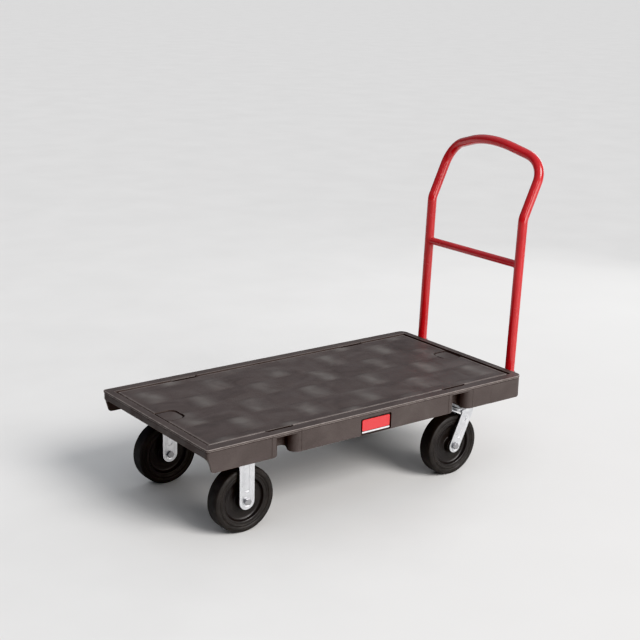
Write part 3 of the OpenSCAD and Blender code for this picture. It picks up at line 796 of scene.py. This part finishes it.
def rib_solids():
    """Five ribs along the deck and ten across it, which end inside the skirts' wall."""
    into_wall = 3
    reach_x = HALF_L - BAND_STEP - WALL + into_wall
    reach_y = HALF_W - BAND_STEP - WALL + into_wall
    along, across = bmesh.new(), bmesh.new()
    for i in range(-2, 3):
        y = i * RIB_PITCH[1]
        bar_solid(along, (-reach_x, y), (reach_x, y), (0, 1), RIB_T / 2, RIB_BOTTOM, FUSE_Z)
    # A little shallower, so that no faces of crossing ribs lie on each other
    for i in range(-5, 5):
        x = (i + 0.5) * RIB_PITCH[0]
        bar_solid(across, (x, -reach_y), (x, reach_y), (1, 0), RIB_T / 2, RIB_BOTTOM + 0.05, FUSE_Z - 0.2)
    return [link("ribs_along", along), link("ribs_across", across)]


def pad_solids():
    """The open boxes and bosses that the casters bolt to, and the bosses for the stiffeners' screws."""
    boxes, bosses, screws = bmesh.new(), bmesh.new(), bmesh.new()
    spots = [centre_of(f"{end}_{side}_mount_bolts") for side in SIDES for end in ENDS]
    # Inset and height, down the outside, round the foot and up the inside
    edge = [(0, FUSE_Z - 0.4), (0, PAD_Z + 1.2), (0.4, PAD_Z + 0.3), (1.4, PAD_Z),
            (WALL - 1.4, PAD_Z), (WALL - 0.4, PAD_Z + 0.3), (WALL, PAD_Z + 1.2), (WALL, FUSE_Z - 0.4)]
    corner_r, least_r = 10, 3
    for spot in spots:
        loops = []
        for inset, z in edge:
            radii = [max(corner_r - inset, least_r)] * 4
            loops.append(rounded_rect(PAD_HALF[0] - inset, PAD_HALF[1] - inset, radii, z, spot[:2]))
        bridge(boxes, loops, around=True)
        for sx in (-1, 1):
            for sy in (-1, 1):
                centre = (spot.x + sx * BOLTS_HALF[0], spot.y + sy * BOLTS_HALF[1])
                turned_z(bosses, centre, [
                    (13, FUSE_Z - 0.8), (13, PAD_Z + 1), (12.4, PAD_Z + 0.25), (11.4, PAD_Z + 0.1),
                    (8.4, PAD_Z + 0.1), (7.6, PAD_Z + 0.6), (7.5, PAD_Z + 30)])
    for sy in SIDES.values():
        for x in SCREW_X:
            turned_z(screws, (x, sy * STIFFENER_Y), [
                (9.8, FUSE_Z - 1), (9, RIB_BOTTOM + 0.8), (8.2, RIB_BOTTOM + 0.1), (3.5, RIB_BOTTOM + 0.1),
                (3, RIB_BOTTOM + 0.6), (3, RIB_BOTTOM + 13)])
    return [link("pads", boxes), link("pad_bosses", bosses), link("screw_bosses", screws)]


def stadium(centre, half_l, half_w, z):
    """An outline with straight sides along X and round ends."""
    return rounded_rect(half_l, half_w, [half_w] * 4, z, centre, steps=10)


def slot_cutter():
    """The four rope slots through the rim, flared at the top."""
    bm = bmesh.new()
    # Flare and height
    levels = [(0, SKIRT_Z + 40), (0, DECK_TOP - 5.5), (0.3, DECK_TOP - 4), (1.6, DECK_TOP - 1.8),
              (4, DECK_TOP + 0.4), (5, DECK_TOP + 3)]
    for sx in (-1, 1):
        for sy in (-1, 1):
            spot = (sx * NOTCH_X, sy * SLOT_Y)
            skinned(bm, [stadium(spot, SLOT_L / 2 + flare, SLOT_W / 2 + flare, z) for flare, z in levels])
    return link("slots", bm)


def dish_cutters():
    """The two shallow dishes, and the narrow groove just inside each one's edge."""
    dishes, rings = bmesh.new(), bmesh.new()
    # Spread and height
    hollow = [(-4, FIELD_TOP - 2.6), (-2.4, FIELD_TOP - 2.4), (-1, FIELD_TOP - 1.6), (0, FIELD_TOP - 0.2),
              (0.8, FIELD_TOP + 1.5)]
    groove = [(0, FIELD_TOP - 3.9), (1, FIELD_TOP - 3.6), (1.6, FIELD_TOP + 1), (-5, FIELD_TOP + 1),
              (-4.6, FIELD_TOP - 3.6), (-3.4, FIELD_TOP - 3.9)]
    for sx in (-1, 1):
        low_r, high_r = (DISH_TIGHT_R, DISH_WIDE_R) if sx < 0 else (DISH_WIDE_R, DISH_TIGHT_R)

        def outline(spread, z):
            radii = [r + spread for r in (low_r, high_r, high_r, low_r)]
            return rounded_rect(DISH_L + spread, DISH_W + spread, radii, z, (sx * DISH_X, 0), steps=10)

        skinned(dishes, [outline(*level) for level in hollow])
        bridge(rings, [outline(*level) for level in groove], around=True)
    return [link("dishes", dishes), link("rings", rings)]


def label_cutters():
    """The label's recess in the left skirt, and a deeper moat round the plate."""
    recess, moat = bmesh.new(), bmesh.new()
    low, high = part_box("label_plate")
    half_l = (high.x - low.x) / 2 / MM + LABEL_MARGIN
    half_h = (high.z - low.z) / 2 / MM + LABEL_MARGIN
    middle = centre_of("label_plate")
    floor_y = high.y / MM
    outside_y = floor_y - 4.5

    def outline(w, h, radius, y):
        return [(middle.x + x, y, middle.z + z) for x, z, _ in rounded_rect(w, h, [radius] * 4, 0, steps=5)]

    # Spread and y
    steps = [(-0.6, floor_y + 0.2), (-0.2, floor_y - 0.6), (0, floor_y - 1.6), (2, outside_y)]
    skinned(recess, [outline(half_l + s, half_h + s, 3.5, y) for s, y in steps])
    channel = [(0.4, floor_y - 1), (0.4, floor_y + MOAT_DEPTH), (MOAT_W, floor_y + MOAT_DEPTH),
               (MOAT_W + 0.6, outside_y), (1, outside_y)]
    bridge(moat, [outline(half_l - LABEL_MARGIN + s, half_h - LABEL_MARGIN + s, 2.5 + s / 2, y)
                  for s, y in channel], around=True)
    return [link("recess", recess), link("moat", moat)]


def edge_highlight(x, y, z):
    """How strong the painted highlight is at a point of the deck. The limits catch only the points that lie
    on its edges.
    """
    inset = rim_inset(x, y)
    beyond = max(abs(x) - FIELD_L, abs(y) - FIELD_W)
    if z > DECK_TOP - 1.5 and inset < 2.1:
        return HIGHLIGHT_RIM_TOP
    if inset < 1 and BAND_Z - 0.1 < z < BAND_Z + 2:
        return HIGHLIGHT_BAND
    if z > DECK_TOP - 0.4 and beyond < 1.3:
        return HIGHLIGHT_RIM_INSIDE
    if abs(beyond + GROOVE_W + 1.8) < 0.9:
        return HIGHLIGHT_GROOVE
    if z < RIM_BOTTOM and z < skirt_bottom(x, y) + 0.8:
        return HIGHLIGHT_SKIRT
    return 0


def paint_light_and_shade(mesh):
    """Paints highlights along the deck's edges and sheen on the weave's crowns onto its points, and shade
    onto its slots' walls and groove's floor.
    """
    painted_highlight = mesh.attributes.new("painted_highlight", "FLOAT", "POINT")
    painted_sheen = mesh.attributes.new("painted_sheen", "FLOAT", "POINT")
    for i, vertex in enumerate(mesh.vertices):
        x, y, z = measured(vertex.co)
        # Painted highlight along the deck's edges
        painted_highlight.data[i].value = edge_highlight(x, y, z)
        # Painted sheen on the weave's crowns
        if abs(x) < FIELD_L and abs(y) < FIELD_W and z > FIELD_TOP - 3:
            painted_sheen.data[i].value = sheen_on_crown(x, y)
    painted_shade = mesh.attributes.new("painted_shade", "FLOAT", "FACE")
    for i, polygon in enumerate(mesh.polygons):
        x, y, z = measured(polygon.center)
        # Painted shade on the slots' walls and on the groove's floor
        in_slot = abs(abs(y) - SLOT_Y) < SLOT_W / 2 + 0.5 and abs(abs(x) - NOTCH_X) < SLOT_L / 2 + 0.5
        if in_slot and abs(polygon.normal.z) < 0.6:
            painted_shade.data[i].value = SHADE_SLOT
        elif rim_inset(x, y) > 18 and FIELD_TOP - 5 < z < FIELD_TOP - 3.4:
            painted_shade.data[i].value = SHADE_GROOVE


def deck():
    """The one-piece moulding: the field, rim, skirts, ribs and bosses fused, then cut and painted."""
    piece = field_solid()
    boolean(piece, [rim_solid(), skirt_solid(), *rib_solids(), *pad_solids()], "UNION")
    boolean(piece, [slot_cutter(), *dish_cutters(), *label_cutters()], "DIFFERENCE")
    piece.name = "deck_moulding"
    paint_light_and_shade(piece.data)
    finish_piece(piece, RESIN, "chassis", "deck_resin", "deck", sharp=34)


def label():
    """A blank gloss plate with a soft edge, and a bright strip along its foot."""
    low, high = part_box("label_plate")
    middle = centre_of("label_plate")
    back = high.y / MM
    half_l = (high.x - low.x) / 2 / MM
    half_h = (high.z - low.z) / 2 / MM

    def plate(name, z, half_z, thick, radius):
        bm = bmesh.new()
        levels = [(0, back), (0, back - thick + 0.4), (0.15, back - thick + 0.1), (0.5, back - thick)]
        skinned(bm, [[(middle.x + x, y, z + dz)
                      for x, dz, _ in rounded_rect(half_l - s, half_z - s, [radius] * 4, 0, steps=6)]
                     for s, y in levels])
        return link(name, bm)

    face_z = middle.z + STRIP_H / 2 + STRIP_GAP
    face = plate("label_face", face_z, half_h - STRIP_H / 2 - STRIP_GAP, thick=1.2, radius=5)
    finish_piece(face, LABEL, "chassis", "label_red", "label_plate")
    trim = 0.3
    strip_z = middle.z - half_h + STRIP_H / 2 - trim
    strip = plate("label_strip", strip_z, STRIP_H / 2 - trim, thick=1.1, radius=1)
    finish_piece(strip, STRIP, "chassis", "label_red")


# ---- Casters -----------------------------------------


def pressing(axle, side_y, lean, start, end, half_w, depth):
    """Cutter for a shallow round-ended pressing in a fork leg's outer face, start to end above the axle."""
    bm = bmesh.new()
    up = Vector((math.sin(lean), 0, math.cos(lean)))
    side = Vector((math.cos(lean), 0, -math.sin(lean)))
    middle = axle + up * (start + end) / 2
    half_l = (end - start) / 2
    out = math.copysign(1, side_y)
    # Spread, and height over the leg's face
    levels = [(-3, -depth), (-2, -depth + 0.3), (-0.6, -0.6), (0.2, -0.1), (1.6, 1.2)]
    loops = []
    for spread, height in levels:
        points = [middle + up * u + side * v
                  for u, v, _ in stadium((0, 0), half_l + spread, half_w + spread, 0)]
        loops.append([(point.x, axle.y + side_y + out * height, point.z) for point in points])
    skinned(bm, loops)
    return link("pressing", bm)


def caster(end, side):
    """Fork, plates and hardware of one caster."""
    name = f"{end}_{side}_"
    axle = centre_of(name + "tyre")
    sleeve_low, sleeve_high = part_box(name + "axle_sleeve")
    face = (sleeve_high.y - sleeve_low.y) / 2 / MM + FORK_T
    cutters = [pressing(axle, out * face, FORK_LEAN[end], **sizes)
               for out in (-1, 1) for sizes in PRESSINGS[end]]
    softened(name + "fork", ZINC, "zinc_plate", width=1.0, cutters=cutters)
    for part in ("mount_bolts", "axle_bolt", "axle_nut"):
        softened(name + part, BOLT, "bolt_steel", width=0.7)
    if end == "rear":
        softened(name + "top_plate", ZINC, "zinc_plate", width=0.9)
        softened(name + "kingpin", BOLT, "bolt_steel", width=0.8)
        softened(name + "kingpin_nut", BOLT, "bolt_steel", width=0.7)


def mirrored(section):
    """Closes a half section, listed from the bore outwards at +offset, with its mirror image."""
    return section + [(r, -offset) for r, offset in reversed(section)]


def wheel(end, side):
    """A mould-on rubber tyre with a stepped sidewall, on a dished plastic core."""
    name = f"{end}_{side}_"
    body = name + "wheel"
    axle = centre_of(name + "tyre")
    low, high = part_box(name + "tyre")
    radius = (high.z - low.z) / 2 / MM
    bm = bmesh.new()
    # Up the sidewall from the core, and over the tread's shoulder
    turned_y(bm, axle, mirrored([
        (75.6, 22.2), (77.5, 22.6), (78.6, 23.3), (80.2, 23.6), (81.2, 23.2), (82.0, 22.7), (83.0, 22.8),
        (84.0, 23.9), (85.4, 24.7), (88.0, 25.1), (91.0, 25.2), (93.4, 25.0), (94.2, 24.3), (95.0, 24.1),
        (96.4, 24.0), (98.0, 23.4), (99.4, 22.2), (100.4, 20.6), (radius - 0.75, 18.6), (radius - 0.35, 15),
        (radius - 0.08, 9), (radius, 3),
    ]))
    finish_piece(link(name + "tyre_moulded", bm), TYRE, body, "tyre_rubber", name + "tyre")
    bm = bmesh.new()
    # The barrel round the bearing, the dished web and the bead under the tyre
    turned_y(bm, axle, mirrored([
        (12, 28), (20.5, 28), (22.2, 27.7), (23.4, 27.0), (24.2, 25.6), (24.8, 18), (25.6, 13.4),
        (27.5, 11.6), (30.5, 10.9), (34, 10.7), (44, 10.6), (45, 11), (47, 11), (48, 10.6), (57, 10.7),
        (61, 11.4), (63.6, 13), (65.2, 15.6), (66.2, 18.6), (67.0, 20.3), (68.2, 21.2), (69.6, 21.5),
        (73.4, 21.5), (74.6, 21.9), (76.2, 21.7),
    ]))
    finish_piece(link(name + "hub_moulded", bm), CORE, body, "wheel_core", name + "hub")


# ---- Handle ------------------------------------------


class Bender:
    """Walks a tube's centre line: straight runs, and bends to a new direction."""

    def __init__(self, start, direction):
        self.points = [Vector(start)]
        self.direction = Vector(direction).normalized()

    def run(self, length, steps):
        """Goes straight ahead."""
        start = self.points[-1]
        self.points += [start + self.direction * length * i / steps for i in range(1, steps + 1)]

    def bend(self, radius, towards, steps):
        """Goes round an arc until it heads towards a direction."""
        towards = Vector(towards).normalized()
        angle = self.direction.angle(towards)
        sideways = (towards - math.cos(angle) * self.direction) / math.sin(angle)
        start, ahead = self.points[-1], self.direction
        for i in range(1, steps + 1):
            t = angle * i / steps
            self.points.append(start + radius * (math.sin(t) * ahead + (1 - math.cos(t)) * sideways))
        self.direction = towards


def pipe(bm, points, radius, bore, steps=40):
    """A tube along a line, with rounded open ends that show its wall."""
    tangents = [(after - before).normalized()
                for before, after in zip(points[:1] + points, points[1:] + points[-1:])]
    normal = tangents[0].orthogonal().normalized()
    frames = []
    for before, tangent in zip([tangents[0]] + tangents, tangents):
        normal = before.rotation_difference(tangent) @ normal
        frames.append((normal.copy(), tangent.cross(normal)))

    def ring(i, r, shift=0.0):
        u, v = frames[i]
        centre = points[i] + tangents[i] * shift
        return [centre + r * (math.cos(a) * u + math.sin(a) * v) for a in circle(steps)]

    soft, last = 0.5, len(points) - 1
    loops = [ring(0, bore, BORE_DEPTH), ring(0, bore), ring(0, radius - soft), ring(0, radius, soft)]
    loops += [ring(i, radius) for i in range(1, last)]
    loops += [ring(last, radius, -soft), ring(last, radius - soft)]
    loops += [ring(last, bore), ring(last, bore, -BORE_DEPTH)]
    skinned(bm, loops)


def handle():
    """The bent tube, walked from one foot round the bow to the other, and its crossbar."""
    leg = Vector((math.sin(RAKE), 0, math.cos(RAKE)))
    upper = Vector((math.sin(LEAN), 0, math.cos(LEAN)))
    bow = Vector((math.sin(LEAN - BOW_TIP), 0, math.cos(LEAN - BOW_TIP)))
    inward = Vector((0, -1, 0))
    climb = math.sin(BOW_SLOPE) * bow + math.cos(BOW_SLOPE) * inward
    fall = -math.sin(BOW_SLOPE) * bow + math.cos(BOW_SLOPE) * inward
    corner_side = CORNER_R * math.tan(upper.angle(climb) / 2) * math.cos(BOW_SLOPE)
    slope_l = (LEG_Y - corner_side - CROWN_R * math.sin(BOW_SLOPE)) / math.cos(BOW_SLOPE)
    trim = KICK_R * math.tan((LEAN - RAKE) / 2)
    leg_l = (KICK_Z - FOOT_Z) / math.cos(RAKE) - trim
    foot_x = LEG_X - (DECK_TOP - FOOT_Z) * math.tan(RAKE)
    line = Bender((foot_x, LEG_Y, FOOT_Z), leg)
    line.run(leg_l, steps=30)
    line.bend(KICK_R, upper, steps=10)
    line.run(UPPER_L - trim, steps=8)
    line.bend(CORNER_R, climb, steps=26)
    line.run(slope_l, steps=6)
    line.bend(CROWN_R, fall, steps=24)
    line.run(slope_l, steps=6)
    line.bend(CORNER_R, -upper, steps=26)
    line.run(UPPER_L - trim, steps=8)
    line.bend(KICK_R, -leg, steps=10)
    line.run(leg_l, steps=30)
    bm = bmesh.new()
    pipe(bm, line.points, TUBE_R, TUBE_R - TUBE_WALL)
    finish_piece(link("handle_tube_bent", bm), PAINT, "handle", "handle_paint", "handle_tube")

    bar_x = LEG_X + (BAR_Z - DECK_TOP) * math.tan(RAKE)
    into_leg = 3
    reach = LEG_Y - TUBE_R + into_leg
    loops = [[(bar_x + BAR_R * math.cos(a), -reach + 2 * reach * i / 20, BAR_Z + BAR_R * math.sin(a))
              for a in circle(40)] for i in range(21)]
    bm = bmesh.new()
    skinned(bm, loops)
    finish_piece(link("handle_crossbar_tube", bm), PAINT, "handle", "handle_paint", "handle_crossbar")
    weld_beads(bar_x)


def weld_beads(bar_x):
    """Rippled fillet welds where the crossbar meets the legs."""
    bm = bmesh.new()
    for out in SIDES.values():
        loops = []
        for a in circle(96):
            x, z = BAR_R * math.cos(a), BAR_R * math.sin(a)
            y = math.sqrt(TUBE_R**2 - x**2)
            seam = Vector((bar_x + x + z * math.tan(RAKE), out * (LEG_Y - y), BAR_Z + z))
            radial = Vector((math.cos(a), 0, math.sin(a)))
            bead = BEAD_R + BEAD_RIPPLE * math.cos(BEAD_RIPPLES * a)
            loops.append([seam + bead * (math.cos(b) * radial + math.sin(b) * Vector((0, out, 0)))
                          for b in circle(10)])
        bridge(bm, loops, around=True)
    finish_piece(link("handle_welds", bm), PAINT, "handle", "handle_paint", sharp=60)


# ---- Everything else ---------------------------------


def sockets_and_stiffeners():
    """The steel that carries the handle and the deck, and its bolts and screws."""
    for side in SIDES:
        softened(f"{side}_socket", STEEL, "plain_steel", width=0.9)
        softened(f"{side}_stiffener", STEEL, "plain_steel", width=0.8)
    for node in ("socket_bolts", "socket_nuts", "handle_stop_bolts", "stiffener_screws"):
        softened(node, BOLT, "bolt_steel", width=0.6)


def paint_inner_parts():
    """Materials of the CAD nodes that stay as they are."""
    finishes = {
        "bolt_inserts": BRASS, "bearing": BRASS, "axle_sleeve": STEEL, "swivel_balls": BOLT,
        "end_plugs": PLUG,
    }
    for name, node in frame["nodes"].items():
        for ending, material in finishes.items():
            if name.endswith(ending):
                node.data.materials.clear()
                node.data.materials.append(material)


# ---- Floor, light and camera -------------------------


def stage():
    """A pale floor, wide enough to reach the horizon."""
    bpy.ops.mesh.primitive_grid_add(x_subdivisions=8, y_subdivisions=8, size=160)
    floor = bpy.context.object
    floor.name = "floor"
    floor.data.materials.append(studio_floor())


def studio_light():
    """A ceiling that dims towards the horizon, behind a pale backdrop, and a broad key from the left."""
    horizon, ceiling, backdrop = (0.22, 0.22, 0.23, 1), (0.86, 0.88, 0.92, 1), (0.97, 0.97, 0.98, 1)
    key_direction = (-0.22, 0.86, -0.66)
    world = bpy.data.worlds.new("studio")
    world.use_nodes = True
    tree = world.node_tree
    coordinates = tree.nodes.new("ShaderNodeTexCoord")
    parts = tree.nodes.new("ShaderNodeSeparateXYZ")
    ramp = tree.nodes.new("ShaderNodeValToRGB")
    for stop, position, colour in zip(ramp.color_ramp.elements, (0.05, 0.7), (horizon, ceiling)):
        stop.position = position
        stop.color = colour
    tree.links.new(coordinates.outputs["Generated"], parts.inputs["Vector"])
    tree.links.new(parts.outputs["Z"], ramp.inputs["Fac"])
    path = tree.nodes.new("ShaderNodeLightPath")
    seen = tree.nodes.new("ShaderNodeMix")
    seen.data_type = "RGBA"
    seen.inputs[MIX_B].default_value = backdrop
    tree.links.new(path.outputs["Is Camera Ray"], seen.inputs[MIX_FACTOR])
    tree.links.new(ramp.outputs["Color"], seen.inputs[MIX_A])
    tree.links.new(seen.outputs[MIX_RESULT], tree.nodes["Background"].inputs["Color"])
    tree.nodes["Background"].inputs["Strength"].default_value = 0.75
    bpy.context.scene.world = world
    lamp = bpy.data.lights.new("key", "SUN")
    lamp.energy = 2.9
    lamp.angle = math.radians(30)
    lamp.color = (1, 0.97, 0.95)
    key = bpy.data.objects.new("key", lamp)
    bpy.context.scene.collection.objects.link(key)
    key.rotation_euler = Vector(key_direction).to_track_quat("-Z", "Y").to_euler()


def softbox(name, place, target, size, power, colour=(1, 1, 1)):
    """A rectangular lamp at a place, in metres, turned to a target."""
    lamp = bpy.data.lights.new(name, "AREA")
    lamp.shape = "RECTANGLE"
    lamp.size, lamp.size_y = size
    lamp.energy = power
    lamp.color = colour
    piece = bpy.data.objects.new(name, lamp)
    bpy.context.scene.collection.objects.link(piece)
    piece.location = place
    piece.rotation_euler = (Vector(target) - Vector(place)).to_track_quat("-Z", "Y").to_euler()


def softboxes():
    """A fill from behind, a warm fill from the left, and a small light for the handle's highlights."""
    cart, grip = (CENTRE_X, 0, 0.35), (0.55, 0, 0.8)
    warm = (1, 0.95, 0.92)
    softbox("rear_box", place=(2.9, 0.9, 1.5), target=cart, size=(0.8, 1.6), power=14)
    softbox("side_box", place=(0.9, -3.1, 0.9), target=cart, size=(2.0, 1.0), power=28, colour=warm)
    softbox("highlight_box", place=(-1.2, -2.9, 2.2), target=grip, size=(0.35, 0.7), power=6)


def camera():
    """The view that shows the front end and the left side, from a little above."""
    ahead = Vector((math.sin(VIEW_AZIMUTH) * math.cos(VIEW_ELEVATION),
                    math.cos(VIEW_AZIMUTH) * math.cos(VIEW_ELEVATION), -math.sin(VIEW_ELEVATION)))
    level = Vector((math.cos(VIEW_AZIMUTH), -math.sin(VIEW_AZIMUTH), 0))
    upright = level.cross(ahead)
    right = math.cos(VIEW_ROLL) * level + math.sin(VIEW_ROLL) * upright
    up = math.cos(VIEW_ROLL) * upright - math.sin(VIEW_ROLL) * level
    data = bpy.data.cameras.new("camera")
    data.lens = LENS
    data.sensor_width = SENSOR_W
    piece = bpy.data.objects.new("camera", data)
    bpy.context.scene.collection.objects.link(piece)
    pose = Matrix((right, up, -ahead)).transposed().to_4x4()
    pose.translation = placed(VIEW_PLACE)
    piece.matrix_world = pose
    bpy.context.scene.camera = piece


camera()
studio_light()
softboxes()
stage()
bpy.context.scene.view_settings.view_transform = "Khronos PBR Neutral"
deck()
label()
for end in ENDS:
    for side in SIDES:
        caster(end, side)
        wheel(end, side)
handle()
sockets_and_stiffeners()
paint_inner_parts()
